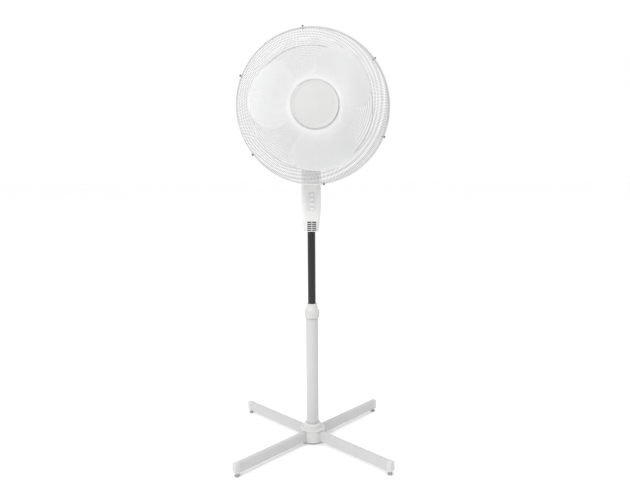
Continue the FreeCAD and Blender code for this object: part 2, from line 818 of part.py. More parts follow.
def gearbox_lid():
    """Plate on top of the case, with the guide hole of the knob's pin."""
    lid = case_block(0, case_top - case_wall, case_top)
    place = worm_wheel_place
    return lid.cut(upright(clutch_shaft_radius + running, case_top - case_wall, case_top, place.x, place.y))


def worm_wheel():
    """Worm wheel and pinion on the clutch shaft."""
    place = worm_wheel_place
    low = case_bottom + case_wall + loose
    shaft = upright(clutch_shaft_radius, low, motor_height + 14, place.x, place.y)
    wheel = gear(worm_wheel_radius, worm_wheel_teeth, motor_height - 4, motor_height + 4, place,
                 clutch_shaft_radius - 1)
    pinion = gear(pinion_radius, pinion_teeth, low + 1.5, low + 7.5, place, clutch_shaft_radius - 1)
    return one_solid(shaft.fuse(wheel).fuse(pinion))


def crank_gear():
    """Large gear, its shaft and the crank disc with the crank pin."""
    x, y = crank_place.x, crank_place.y
    low = case_bottom + case_wall + loose
    body = gear(crank_gear_radius, crank_gear_teeth, low + 1.5, low + 7.5, crank_place,
                crank_shaft_radius - 1)
    body = body.fuse(upright(6.0, low, low + 2, x, y))
    body = body.fuse(upright(crank_shaft_radius, crank_disc_bottom + 1, low + 10, x, y))
    body = body.fuse(upright(crank_disc_radius, crank_disc_bottom,
                             crank_disc_bottom + crank_disc_thickness, x, y))
    pin = crank_pin_place()
    body = body.fuse(upright(2.5, link_top + 0.6, crank_disc_bottom + 1, pin.x, pin.y))
    return one_solid(body)


def oscillation_knob():
    """Pull knob on top of the motor, with its pin."""
    place = worm_wheel_place
    seat = motor_height + math.sqrt(cover_outer ** 2 - place.x ** 2) + 2.5
    outline = [
        (0, motor_height + 15.5), (clutch_shaft_radius, motor_height + 15.5),
        (clutch_shaft_radius, seat), (knob_radius - 2.5, seat), (knob_radius - 2.0, seat + 3.0),
        (knob_radius, seat + knob_height - 5), (knob_radius - 0.6, seat + knob_height - 2),
        (knob_radius - 3.0, seat + knob_height - 0.3), (0, seat + knob_height),
    ]
    knob = turned(outline)
    knob.translate(place)
    return knob


# ---------------------------------------------------------------- motor
def on_screw_circle(angle):
    """Distances beside and above the motor axis of a motor screw."""
    turn = math.radians(angle)
    return motor_screw_circle * math.cos(turn), motor_screw_circle * math.sin(turn)


def motor_screw(angle):
    """Long screw through both shields and the stator."""
    x, z = on_screw_circle(angle)
    face = front_shield_face
    shank = motor_rod(motor_screw_radius, shield_rear - 4, face, x, z)
    return shank.fuse(motor_rod(motor_screw_radius * 1.8, face, face + 2.4, x, z))


def screw_holes(shape):
    """Cut the four through holes of the motor screws."""
    for angle in motor_screw_angles:
        x, z = on_screw_circle(angle)
        shape = shape.cut(motor_rod(motor_screw_radius + snug, 0, cover_front, x, z))
    return shape


def front_shield():
    """Front end shield with the front bearing seat."""
    face = front_shield_face
    inner = face - shield_skin
    rim_inner = shield_radius - shield_wall
    seat = bearing_radius + snug
    outline = [
        (seat, inner), (bearing_boss_radius, inner - shield_skin), (rim_inner - 10, inner),
        (rim_inner, inner), (rim_inner, stator_front), (shield_radius, stator_front),
        (shield_radius, face), (bearing_boss_radius, face), (bearing_boss_radius, cover_front),
        (seat, cover_front),
    ]
    return one_solid(screw_holes(turned_on_motor(outline)))


def rear_shield():
    """Rear end shield with the rear bearing seat."""
    inner = shield_rear + shield_skin
    rim_inner = shield_radius - shield_wall
    seat = bearing_radius + snug
    outline = [
        (seat, shield_rear - 5), (bearing_boss_radius, shield_rear - 5),
        (bearing_boss_radius, shield_rear), (shield_radius, shield_rear),
        (shield_radius, stator_rear), (rim_inner, stator_rear), (rim_inner, inner), (seat, inner),
    ]
    return one_solid(screw_holes(turned_on_motor(outline)))


def bearing(near):
    """Sintered sleeve bearing from a forward distance."""
    return motor_pipe(bearing_radius, shaft_radius + running, near, near + bearing_length)


def stator_core():
    """Laminated stator with eight winding slots."""
    core = motor_pipe(stator_radius, stator_bore, stator_rear, stator_front)
    slot = motor_rod(3.0, stator_rear, stator_front, 30.0)
    for copy in ring_of(slot, 8, forward(0), back):
        core = core.cut(copy)
    return one_solid(screw_holes(core))


def stator_windings():
    """Copper windings: two end turns joined by the bars in the slots."""
    coil = motor_pipe(34.0, 26.0, stator_front + 0.2, stator_front + winding_overhang)
    coil = coil.fuse(motor_pipe(34.0, 26.0, stator_rear - winding_overhang, stator_rear - 0.2))
    bar = motor_rod(2.8, stator_rear - 1, stator_front + 1, 30.0)
    for copy in ring_of(bar, 8, forward(0), back):
        coil = coil.fuse(copy)
    return one_solid(coil)


def rotor_core():
    """Squirrel-cage rotor on the shaft."""
    return motor_pipe(stator_bore - rotor_gap, shaft_radius + snug, stator_rear + 1, stator_front - 1)


def motor_shaft():
    """Shaft with the worm on its rear end, drawn as rings at the worm's pitch."""
    shaft = motor_rod(shaft_radius, shield_rear - 7, shaft_front)
    worm_rear = -wheel_depth - worm_length / 2
    shaft = shaft.fuse(motor_rod(shaft_rear_radius, worm_rear - 4, shield_rear - 6))
    worm = motor_rod(worm_radius, worm_rear, worm_rear + worm_length)
    for k in range(6):
        middle = worm_rear + 2.5 + k * worm_pitch
        worm = worm.cut(motor_pipe(worm_radius + 1, worm_radius - 1.2, middle - 0.7, middle + 0.7))
    return one_solid(shaft.fuse(worm))


def motor_front_cover():
    """Front motor cover with the threaded nose that carries the rear grille."""
    inner = cover_outer - cover_wall
    nose_end = cover_front + nose_length
    outline = [
        (cover_outer, cover_split), (cover_outer, cover_front - 5), (cover_outer - 5, cover_front),
        (nose_radius, cover_front), (nose_radius, nose_end), (nose_radius - 6, nose_end),
        (nose_radius - 6, cover_front - cover_wall), (inner - 4, cover_front - cover_wall),
        (inner, cover_front - cover_wall - 4), (inner, cover_split),
    ]
    cover = turned_on_motor(outline)
    slot = block(-1.6, 1.6, -cover_front - 1, -cover_front + cover_wall + 1,
                 motor_height + 33, motor_height + 47)
    for copy in ring_of(slot, 24, forward(0), back):
        cover = cover.cut(copy)
    return one_solid(cover)


def motor_rear_cover():
    """Domed rear motor cover, open underneath for the pivot and the crank."""
    inner = cover_outer - cover_wall
    start = cover_rear_straight

    def dome(radius, depth):
        curve = []
        for degrees in range(0, 90, 10):
            turn = math.radians(degrees)
            curve.append((radius * math.cos(turn), -start - depth * math.sin(turn)))
        return turned_on_motor([(0, cover_split), (radius, cover_split)] + curve + [(0, -start - depth)])

    cover = dome(cover_outer, cover_rear_dome).cut(dome(inner, cover_rear_dome - cover_wall))
    opening = block(-15, 19, -pivot_boss_radius - 3, 40, motor_height - cover_outer - 5, motor_height - 30)
    cover = cover.cut(opening)
    place = worm_wheel_place
    cover = cover.cut(upright(clutch_shaft_radius + running, motor_height + 20,
                              motor_height + cover_outer + 5, place.x, place.y))
    slot = block(-1.6, 1.6, start + 2, start + cover_rear_dome + 5, motor_height + 14, motor_height + 40)
    for copy in ring_of(slot, 16, forward(0), back):
        cover = cover.cut(copy)
    return one_solid(cover)


def grille_nut():
    """Ring nut that clamps the rear grille's plate, with finger grips."""
    near = cover_front + plate_thickness + snug
    nut = motor_pipe(grille_nut_radius, nose_radius + snug, near, near + grille_nut_length)
    notch = motor_rod(4.0, near + 1.5, near + grille_nut_length, grille_nut_radius + 2.0)
    for copy in ring_of(notch, 12, forward(0), back):
        nut = nut.cut(copy)
    return one_solid(nut)


# ---------------------------------------------------------------- guard
def dome_point(share, start_radius, end_radius, rim, depth):
    """Radius and forward distance on the domed profile, from the centre (0) to the rim (1)."""
    turn = share * math.pi / 2
    radius = start_radius + (end_radius - start_radius) * math.sin(turn) ** (2 / dome_power)
    return radius, rim + depth * max(math.cos(turn), 0.0) ** (2 / dome_power)


def share_at(radius):
    """Share of the domed profile where it reaches a radius."""
    run = (radius - centre_ring_radius) / (rim_radius - centre_ring_radius)
    return math.asin(run ** (dome_power / 2)) / (math.pi / 2)


def grille_wire_solid(first_share, steps, rim, depth, side):
    """A wire bent in one plane beside the motor axis: mitred straight lengths of hexagonal section."""
    points = []
    for k in range(steps + 1):
        share = first_share + (1 - first_share) * k / steps
        radius, distance = dome_point(share, centre_ring_radius, rim_radius, rim, depth)
        along = math.sqrt(radius ** 2 - wire_swirl ** 2)
        points.append(Vector(along, -distance, side * wire_swirl))
    rings = []
    for k, point in enumerate(points):
        behind = (point - points[k - 1]).normalize() if k else (points[1] - point).normalize()
        ahead = (points[k + 1] - point).normalize() if k < steps else behind
        tangent = (behind + ahead).normalize()
        stretch = 1 / tangent.dot(behind)
        inward = tangent.cross(up).normalize() * stretch
        ring = []
        for corner in range(6):
            turn = math.radians(60 * corner)
            ring.append(point + inward * (grille_wire * math.cos(turn)) + up * (grille_wire * math.sin(turn)))
        rings.append(ring)
    faces = [face_of(rings[0]), face_of(rings[-1])]
    for low, high in zip(rings, rings[1:]):
        for corner in range(6):
            following = (corner + 1) % 6
            faces.append(face_of([low[corner], low[following], high[following], high[corner]]))
    solid = Part.Solid(Part.Shell(faces))
    if solid.Volume < 0:
        solid.reverse()
    solid.translate(Vector(0, 0, motor_height))
    return solid


def wire_ring(radius, distance, wire):
    """A ring of wire of hexagonal section round the motor axis."""
    corners = []
    for k in range(6):
        turn = math.radians(60 * k)
        corners.append((radius + wire * math.cos(turn), distance + wire * math.sin(turn)))
    return turned_on_motor(corners)


def wire_dome(rim, depth, side):
    """Rim, rings and wires of one grille, ready to be fused."""
    gap_angle = 360.0 / (2 * wire_pairs)
    rim_turn = math.degrees(math.asin(wire_swirl / rim_radius))
    first = -(clip_first_angle + gap_angle / 2 - side * rim_turn)
    long_wire = grille_wire_solid(0.0, wire_steps, rim, depth, side)
    short_wire = grille_wire_solid(share_at(middle_ring_radius), wire_steps - 2, rim, depth, side)
    pieces = ring_of(long_wire, wire_pairs, forward(0), back, first)
    pieces += ring_of(short_wire, wire_pairs, forward(0), back, first - gap_angle)
    pieces.append(wire_ring(centre_ring_radius, rim + depth, ring_wire))
    inward = grille_wire if depth < 0 else -grille_wire
    for radius in (middle_ring_radius, outer_ring_radius):
        place = dome_point(share_at(radius), centre_ring_radius, rim_radius, rim, depth)
        pieces.append(wire_ring(place[0], place[1] + inward, ring_wire * 0.8))
    return wire_ring(rim_radius, rim, rim_wire), pieces


def rear_grille():
    """Welded rear grille with the plate that sits on the motor's nose."""
    rim, pieces = wire_dome(rear_rim, -rear_depth, -1)
    plate = motor_pipe(centre_ring_radius, nose_radius + snug, cover_front, cover_front + plate_thickness)
    return one_solid(rim.multiFuse(pieces + [plate]))


def front_grille():
    """Welded front grille."""
    rim, pieces = wire_dome(front_rim, front_depth, 1)
    return one_solid(rim.multiFuse(pieces))


def centre_cap():
    """Blank round cap in the middle of the front grille, with a raised rim and three hooks."""
    seat = front_rim + front_depth + ring_wire + snug
    outline = [
        (0, seat + cap_rise - cap_shell), (30, seat + cap_rise - cap_shell - 1.0),
        (centre_ring_radius - ring_wire - 4.0, seat), (centre_ring_radius - ring_wire - 4.0, seat - 7.5),
        (centre_ring_radius - ring_wire - 1.0, seat - 7.5), (centre_ring_radius - ring_wire - 1.0, seat),
        (cap_radius, seat), (cap_radius, seat + 2.6), (cap_radius - 1.2, seat + 3.4),
        (cap_radius - 3.4, seat + 2.4), (30, seat + cap_rise - 1.0), (0, seat + cap_rise),
    ]
    cap = turned_on_motor(outline)
    hook = block(-4, 4, -(seat - 5.2), -(seat - 7.5), motor_height + centre_ring_radius - ring_wire - 1.5,
                 motor_height + centre_ring_radius + 1.0)
    for copy in ring_of(hook, 3, forward(0), back):
        cap = cap.fuse(copy)
    return one_solid(cap)


def rim_clip(angle):
    """Latch hinged on the rear rim wire and hooked over the front rim wire."""
    half = clip_width / 2
    sleeve = rim_wire + running + clip_wall
    top = rim_radius + rim_wire + 0.5
    reach = rim_spacing + rim_wire + 0.5

    def bar(radius_low, radius_high, near, far):
        return block(-half, half, -rear_rim - far, -rear_rim - near,
                     motor_height + radius_low, motor_height + radius_high)

    centre = Vector(-half, -rear_rim, motor_height + rim_radius)
    clip = rod(sleeve, centre, centre + Vector(clip_width, 0, 0))
    clip = clip.fuse(bar(top, top + clip_wall + 0.5, 0, reach + clip_wall))
    clip = clip.fuse(bar(rim_radius + rim_wire * 0.4, top + 0.2, -sleeve + 0.9, -rim_wire * 0.3))
    clip = clip.fuse(bar(rim_radius - 1.0, top + 0.2, reach, reach + clip_wall))
    clip = clip.cut(rod(rim_wire + running, centre, centre + Vector(clip_width, 0, 0)))
    clip.rotate(forward(0), back, 90 - angle)
    return one_solid(clip)


# ---------------------------------------------------------------- fan blade
def blade_slab():
    """Twisted slab that a blade is cut from: thin radial sections that climb forward as they turn."""
    sections = []
    steps = 8
    span = 96.0
    root = blade_hub_radius * 0.8
    end = blade_tip * 1.05
    for k in range(steps + 1):
        share = k / steps
        turn = math.radians(-4.0 + span * share)
        distance = blade_rear + blade_rise * share + blade_camber * math.sin(math.pi * share)
        corners = []
        for radius, offset in ((root, 0), (end, 0), (end, blade_thickness), (root, blade_thickness)):
            corners.append(forward(distance + offset, radius * math.cos(turn), radius * math.sin(turn)))
        sections.append(Part.makePolygon(corners + [corners[0]]))
    return Part.makeLoft(sections, True)


def blade_outline():
    """Front view of a blade, from its straight edge round the tip to its swept edge."""
    polar = [
        (1, 0.17), (0.5, 0.5), (-1, 0.72), (0.5, 0.835), (6, 0.9), (20, 0.955), (36, 0.985), (49, 1),
        (62, 0.985), (73, 0.91), (82, 0.79), (87.5, 0.66), (89, 0.5), (88, 0.34), (87, 0.17),
    ]
    points = []
    for degrees, share in polar:
        turn = math.radians(degrees)
        radius = share * blade_tip
        points.append(forward(blade_rear - 20, radius * math.cos(turn), radius * math.sin(turn)))
    curve = Part.BSplineCurve()
    curve.interpolate(points)
    outline = Part.Wire([curve.toShape(), Part.makeLine(points[-1], points[0])])
    return Part.Face(outline).extrude(Vector(0, -(blade_rise + 40), 0))


def fan_blade():
    """Three blades and their hub in one moulding."""
    near, far = blade_hub_rear, blade_hub_front
    wall = blade_hub_wall
    hub = turned_on_motor([
        (blade_hub_radius - wall, near), (blade_hub_radius, near), (blade_hub_radius, far - 5),
        (blade_hub_radius - 5, far), (shaft_radius + snug, far), (shaft_radius + snug, near + 4),
        (9, near + 4), (9, far - wall - 1), (blade_hub_radius - wall - 4, far - wall - 1),
        (blade_hub_radius - wall, far - wall - 5),
    ])
    blade = blade_slab().common(blade_outline())
    blade = blade.cut(motor_rod(blade_hub_radius - 1, near - 10, far + 30))
    for copy in ring_of(blade, blade_count, forward(0), back, -blade_first_angle):
        hub = hub.fuse(copy)
    rib = block(8.0, blade_hub_radius - wall + 0.5, -far + 1, -near - 6, motor_height - 1, motor_height + 1)
    for copy in ring_of(rib, 6, forward(0), back):
        hub = hub.fuse(copy)
    return one_solid(hub)


def blade_nut():
    """Spinner nut on the shaft's end."""
    near = blade_hub_front + snug
    far = shaft_front + 3
    nut = motor_rod(spinner_radius, near, far)
    edges = [e for e in nut.Edges if abs(e.CenterOfMass.y + far) < 0.01]
    nut = nut.makeFillet(3.0, edges)
    flute = motor_rod(2.6, near + 2, far, spinner_radius + 1.0)
    for copy in ring_of(flute, 10, forward(0), back):
        nut = nut.cut(copy)
    return one_solid(nut.cut(motor_rod(shaft_radius + snug, near, shaft_front)))


# ---------------------------------------------------------------- assembly
fixed_nodes = {
    "base_hub": base_hub(),
    "base_cover": base_cover(),
    "leg_end_caps": Part.makeCompound([leg_end_cap(a) for a in leg_angles.values()]),
    "foot_pads": Part.makeCompound([foot_pad(a) for a in leg_angles.values()]),
    "leg_screws": Part.makeCompound([leg_screw(a) for a in leg_angles.values()]),
    "pole_plug": pole_plug(),
    "pole_bolt": pole_bolt(),
    "outer_pole": outer_pole(),
    "pole_insert": pole_insert(),
    "height_collar": height_collar(),
}
for place, angle in leg_angles.items():
    fixed_nodes["leg_" + place] = leg_tube(angle)

swivelled_nodes = {
    "collet": collet(),
    "inner_tube": inner_tube(),
    "control_housing_front": control_housing_front(),
    "control_housing_rear": control_housing_rear(),
    "housing_screws": Part.makeCompound([housing_screw(x, h) for x, h in shell_screw_places]),
    "tube_screw": tube_screw(),
    "switch_block": switch_block(),
    "tilt_bracket": tilt_bracket(),
    "bracket_screws": Part.makeCompound([
        bracket_screw(-bracket_screw_place), bracket_screw(bracket_screw_place),
    ]),
    "tilt_bolt": tilt_bolt(),
    "tilt_knob": tilt_knob(),
    "neck": neck(),
    "thrust_washer": thrust_washer(),
    "pivot_clip": pivot_clip(),
    "crank_link": crank_link(),
    "gearbox_case": gearbox_case(),
    "gearbox_lid": gearbox_lid(),
    "worm_wheel": worm_wheel(),
    "crank_gear": crank_gear(),
    "oscillation_knob": oscillation_knob(),
    "front_shield": front_shield(),
    "rear_shield": rear_shield(),
    "shaft_bearings": Part.makeCompound([bearing(cover_front - bearing_length), bearing(shield_rear - 5)]),
    "stator_core": stator_core(),
    "stator_windings": stator_windings(),
    "rotor_core": rotor_core(),
    "motor_shaft": motor_shaft(),
    "motor_screws": Part.makeCompound([motor_screw(a) for a in motor_screw_angles]),
    "motor_front_cover": motor_front_cover(),
    "motor_rear_cover": motor_rear_cover(),
    "grille_nut": grille_nut(),
    "rear_grille": rear_grille(),
    "front_grille": front_grille(),
    "centre_cap": centre_cap(),
    "fan_blade": fan_blade(),
    "blade_nut": blade_nut(),
}
for name, height in zip(button_names, button_heights):
    swivelled_nodes[name] = speed_button(height)
for k in range(clip_count):
    swivelled_nodes["rim_clip_" + str(k + 1)] = rim_clip(clip_first_angle + 60.0 * k)

os.makedirs("parts", exist_ok=True)
for shape in swivelled_nodes.values():
    shape.rotate(origin, up, swivel_rest)
for name, shape in {**fixed_nodes, **swivelled_nodes}.items():
    shape.exportStep("parts/" + name + ".step")
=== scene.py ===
import json
import math

import bmesh
import bpy
from mathutils import Euler, Matrix, Vector


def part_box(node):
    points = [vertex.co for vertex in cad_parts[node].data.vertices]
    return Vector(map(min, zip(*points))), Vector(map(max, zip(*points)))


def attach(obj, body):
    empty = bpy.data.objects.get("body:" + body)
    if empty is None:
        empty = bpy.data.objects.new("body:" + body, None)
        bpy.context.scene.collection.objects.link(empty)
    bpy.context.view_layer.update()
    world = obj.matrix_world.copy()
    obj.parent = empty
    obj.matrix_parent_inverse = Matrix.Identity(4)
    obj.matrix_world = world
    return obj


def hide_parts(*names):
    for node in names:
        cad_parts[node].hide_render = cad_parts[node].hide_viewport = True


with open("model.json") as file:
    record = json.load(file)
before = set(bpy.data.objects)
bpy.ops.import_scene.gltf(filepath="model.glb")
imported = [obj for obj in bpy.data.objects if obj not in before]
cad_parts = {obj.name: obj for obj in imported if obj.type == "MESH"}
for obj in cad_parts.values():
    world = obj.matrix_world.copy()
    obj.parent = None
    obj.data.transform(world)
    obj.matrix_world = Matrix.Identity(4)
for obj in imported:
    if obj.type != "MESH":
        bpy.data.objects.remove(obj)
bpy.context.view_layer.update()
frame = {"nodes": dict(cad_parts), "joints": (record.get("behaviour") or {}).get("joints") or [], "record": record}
nodes = frame["nodes"]
record = frame["record"]

# ---------------------------------------------------------------- the head's own directions
# The head and housing are turned a little about the pole. Points on them are worked out as
# (to its right, forward, up) and turned by head_point.
spin = next(j for j in frame["joints"] if j["name"] == "blade_spin")
forward_axis = Vector(spin["axis"])
right_axis = forward_axis.cross(Vector((0, 0, 1)))
motor_point = Vector(spin["pos_m"])
motor_height = motor_point.z


def head_point(right, forward, up):
    """A point on the head from its distances right of and forward of the pole, and its height."""
    return right_axis * right + forward_axis * forward + Vector((0, 0, up))


def add_object(name, data):
    """An object of some data, linked into the scene."""
    piece = bpy.data.objects.new(name, data)
    bpy.context.scene.collection.objects.link(piece)
    return piece


# ---------------------------------------------------------------- materials
def new_material(name):
    """An empty node material: its tree, its shader and its object coordinates."""
    material = bpy.data.materials.new(name)
    material.use_nodes = True
    tree = material.node_tree
    shader = tree.nodes["Principled BSDF"]
    coordinates = tree.nodes.new("ShaderNodeTexCoord").outputs["Object"]
    return material, tree, shader, coordinates


def noise(tree, coordinates, scale, detail=3.0, stretch=(1, 1, 1)):
    """A noise texture's value at a scale, stretched along the axes."""
    mapping = tree.nodes.new("ShaderNodeMapping")
    mapping.inputs["Scale"].default_value = stretch
    tree.links.new(coordinates, mapping.inputs["Vector"])
    texture = tree.nodes.new("ShaderNodeTexNoise")
    texture.inputs["Scale"].default_value = scale
    texture.inputs["Detail"].default_value = detail
    tree.links.new(mapping.outputs["Vector"], texture.inputs["Vector"])
    return texture.outputs["Fac"]


def spread(tree, value, low, high, start=0.3, end=0.7):
    """Map a texture value onto a range."""
    node = tree.nodes.new("ShaderNodeMapRange")
    node.inputs["From Min"].default_value = start
    node.inputs["From Max"].default_value = end
    node.inputs["To Min"].default_value = low
    node.inputs["To Max"].default_value = high
    tree.links.new(value, node.inputs["Value"])
    return node.outputs["Result"]


def blend_colours(tree, factor, first, second):
    """Mix two colours by a factor. A mix node's colours are its inputs 6 and 7 and output 2."""
    mix = tree.nodes.new("ShaderNodeMix")
    mix.data_type = "RGBA"
    mix.inputs[6].default_value = (*first, 1)
    mix.inputs[7].default_value = (*second, 1)
    tree.links.new(factor, mix.inputs[0])
    return mix.outputs[2]


def bump(tree, height, depth, shader):
    """Raise the surface by a height texture, to a depth in metres."""
    node = tree.nodes.new("ShaderNodeBump")
    node.inputs["Distance"].default_value = depth
    node.inputs["Strength"].default_value = 1.0
    tree.links.new(height, node.inputs["Height"])
    tree.links.new(node.outputs["Normal"], shader.inputs["Normal"])


patch_scale = 14.0      # tone patches of moulded plastic and paint
gloss_scale = 60.0      # patches of uneven gloss


def moulded(name, colour, roughness, grain, depth, tone):
    """Moulded plastic or paint: faint tone patches, uneven gloss and a fine surface grain."""
    material, tree, shader, coordinates = new_material(name)
    patches = spread(tree, noise(tree, coordinates, patch_scale, 4.0), 0.0, 1.0)
    darker = [c * (1 - tone) for c in colour]
    lighter = [min(1.0, c * (1 + tone)) for c in colour]
    tree.links.new(blend_colours(tree, patches, darker, lighter), shader.inputs["Base Color"])
    gloss = noise(tree, coordinates, gloss_scale, 5.0)
    gloss = spread(tree, gloss, roughness * 0.82, roughness * 1.2)
    tree.links.new(gloss, shader.inputs["Roughness"])
    bump(tree, noise(tree, coordinates, grain, 2.0), depth, shader)
    return material


def metal(name, colour, roughness, stretch, scale, depth):
    """Bare metal with fine marks stretched along one direction."""
    material, tree, shader, coordinates = new_material(name)
    shader.inputs["Metallic"].default_value = 1.0
    marks = noise(tree, coordinates, scale, 4.0, stretch)
    tone = spread(tree, marks, 0.0, 1.0)
    darker = [c * 0.86 for c in colour]
    tree.links.new(blend_colours(tree, tone, darker, colour), shader.inputs["Base Color"])
    gloss = spread(tree, marks, roughness * 0.75, roughness * 1.3)
    tree.links.new(gloss, shader.inputs["Roughness"])
    bump(tree, marks, depth, shader)
    return material


def banded(name, colour, other, roughness, pitch):
    """Fine metal bands across the motor's axis: stacked sheets or wound wire."""
    material, tree, shader, coordinates = new_material(name)
    turn = tree.nodes.new("ShaderNodeMapping")
    turn.inputs["Rotation"].default_value = (0, 0, -math.atan2(forward_axis.x, -forward_axis.y))
    tree.links.new(coordinates, turn.inputs["Vector"])
    wave = tree.nodes.new("ShaderNodeTexWave")
    wave.bands_direction = "Y"
    wave.inputs["Scale"].default_value = 1 / pitch / 20 * math.pi
    wave.inputs["Distortion"].default_value = 0.6
    tree.links.new(turn.outputs["Vector"], wave.inputs["Vector"])
    bands = wave.outputs["Fac"]
    shader.inputs["Metallic"].default_value = 1.0
    tree.links.new(blend_colours(tree, bands, other, colour), shader.inputs["Base Color"])
    gloss = spread(tree, bands, roughness, roughness * 1.5, 0, 1)
    tree.links.new(gloss, shader.inputs["Roughness"])
    bump(tree, bands, 0.0002, shader)
    return material


# Each row: colour, roughness, scale of the grain, its depth, and how much the tone varies.
moulded_rows = {
    "white_paint": ((0.50, 0.505, 0.50), 0.42, 900.0, 0.00004, 0.02),
    "guard_wire": ((0.71, 0.71, 0.71), 0.35, 1200.0, 0.00002, 0.02),
    # rear_guard_wire: the same white wire as the front guard, painted darker; this is painted shade for the shade
    # the rear guard sits in behind the front guard, blades and cap.
    "rear_guard_wire": ((0.44, 0.44, 0.44), 0.35, 1200.0, 0.00002, 0.02),
    "white_plastic": ((0.56, 0.56, 0.555), 0.46, 1500.0, 0.00004, 0.02),
    # housing_plastic: lighter than white_plastic as painted light, making up for the shade the guard casts on the
    # housing.
    "housing_plastic": ((0.68, 0.68, 0.675), 0.5, 1800.0, 0.00005, 0.02),
    "button_plastic": ((0.72, 0.725, 0.73), 0.3, 1500.0, 0.00002, 0.02),
    # blade_plastic: paler than the other white plastic, partly its own paler tone and partly painted light making
    # up for the shade the front guard casts on the blades.
    "blade_plastic": ((0.90, 0.905, 0.91), 0.32, 1400.0, 0.00002, 0.015),
    "clip_plastic": ((0.13, 0.135, 0.14), 0.5, 1500.0, 0.00003, 0.08),
    "dark_tube": ((0.003, 0.003, 0.0033), 0.25, 700.0, 0.00005, 0.3),
    "grey_rubber": ((0.34, 0.34, 0.345), 0.7, 700.0, 0.0001, 0.1),
    "nylon": ((0.62, 0.59, 0.5), 0.45, 1300.0, 0.00003, 0.04),
    "switch_plastic": ((0.03, 0.03, 0.032), 0.5, 1300.0, 0.00003, 0.2),
    "floor_paint": ((0.995, 0.995, 0.995), 0.8, 300.0, 0.00005, 0.004),
}
# Each row: colour, roughness, stretch of the marks, their scale and depth.
metal_rows = {
    "zinc_steel": ((0.62, 0.63, 0.65), 0.32, (1, 1, 0.15), 300.0, 0.00003),
    "bronze": ((0.6, 0.4, 0.2), 0.4, (1, 1, 1), 300.0, 0.00003),
    "die_cast": ((0.62, 0.63, 0.65), 0.5, (1, 1, 1), 600.0, 0.00006),
}
# Each row: colour, colour between the bands, roughness, pitch.
banded_rows = {
    "lamination": ((0.42, 0.43, 0.45), (0.2, 0.2, 0.21), 0.35, 0.001),
    "copper": ((0.72, 0.30, 0.12), (0.35, 0.12, 0.05), 0.3, 0.0012),
}
materials = {name: moulded(name, *row) for name, row in moulded_rows.items()}
materials.update({name: metal(name, *row) for name, row in metal_rows.items()})
materials.update({name: banded(name, *row) for name, row in banded_rows.items()})
slot_of = {part["node"]: part["material_slot"] for part in record["subparts"]}


# ---------------------------------------------------------------- shading of the CAD nodes
def smooth_group(angle):
    """Geometry nodes that shade smooth, apart from edges sharper than an angle in degrees."""
    group = bpy.data.node_groups.new("smooth_" + str(angle), "GeometryNodeTree")
    group.interface.new_socket("Geometry", in_out="INPUT", socket_type="NodeSocketGeometry")
    group.interface.new_socket("Geometry", in_out="OUTPUT", socket_type="NodeSocketGeometry")
    start = group.nodes.new("NodeGroupInput")
    end = group.nodes.new("NodeGroupOutput")
    faces = group.nodes.new("GeometryNodeSetShadeSmooth")
    edges = group.nodes.new("GeometryNodeSetShadeSmooth")
    edges.domain = "EDGE"
    turn = group.nodes.new("GeometryNodeInputMeshEdgeAngle")
    flat = group.nodes.new("FunctionNodeCompare")
    flat.operation = "LESS_THAN"
    flat.inputs["B"].default_value = math.radians(angle)
    group.links.new(turn.outputs["Unsigned Angle"], flat.inputs["A"])
    group.links.new(flat.outputs["Result"], edges.inputs["Shade Smooth"])
    group.links.new(start.outputs["Geometry"], faces.inputs["Geometry"])
    group.links.new(faces.outputs["Geometry"], edges.inputs["Geometry"])
    group.links.new(edges.outputs["Geometry"], end.inputs["Geometry"])
    return group


smooth = smooth_group(32)
sharp_angle = 38    # degrees above which an edge is rounded


def finish_edges(piece, width):
    """Weld, round the sharp edges by a width in metres, and shade smooth."""
    weld = piece.modifiers.new("weld", "WELD")
    weld.merge_threshold = 0.000002
    if width:
        rounding = piece.modifiers.new("rounding", "BEVEL")
        rounding.width = width
        rounding.segments = 2
        rounding.limit_method = "ANGLE"
        rounding.angle_limit = math.radians(sharp_angle)
        rounding.use_clamp_overlap = True
        rounding.harden_normals = False
    shading = piece.modifiers.new("shading", "NODES")
    shading.node_group = smooth


# Widths of the rounded edges. The edges of nodes that aren't listed stay as they are.
edge_widths = {
    "leg_end_caps": 0.0006, "base_hub": 0.0005, "base_cover": 0.0005, "foot_pads": 0.0004,
    "height_collar": 0.0003, "outer_pole": 0.0003, "pole_insert": 0.0003,
    "control_housing_front": 0.0004, "control_housing_rear": 0.0004,
    "tilt_bracket": 0.0005, "neck": 0.0004, "tilt_knob": 0.0004, "tilt_bolt": 0.0005,
    "crank_link": 0.0003, "crank_gear": 0.0002, "gearbox_case": 0.0006,
    "motor_front_cover": 0.0004, "motor_rear_cover": 0.0004, "grille_nut": 0.0006,
    "blade_nut": 0.0004, "fan_blade": 0.0005, "centre_cap": 0.0003, "oscillation_knob": 0.0003,
}
for name, piece in nodes.items():
    piece.data.materials.clear()
    piece.data.materials.append(materials[slot_of[name]])
    finish_edges(piece, edge_widths.get(name, 0.0))


# ---------------------------------------------------------------- control housing's outline
housing_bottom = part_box("control_housing_front")[0][2]
fixed_half_width = 0.013    # the panel, vents and tube hole inside this keep their places
# Each row: half width at the top, how much less at the bottom, height of the taper, its power.
plain_taper = (0.0306, 0.0126, 0.110, 2.1)      # the node's own
full_taper = (0.0280, 0.0065, 0.080, 1.2)       # straighter and fuller, as drawn


def half_width(height, taper):
    """Half width of the housing at a height above its bottom."""
    top, narrowing, taper_height, power = taper
    return top - narrowing * max(0.0, 1 - height / taper_height) ** power


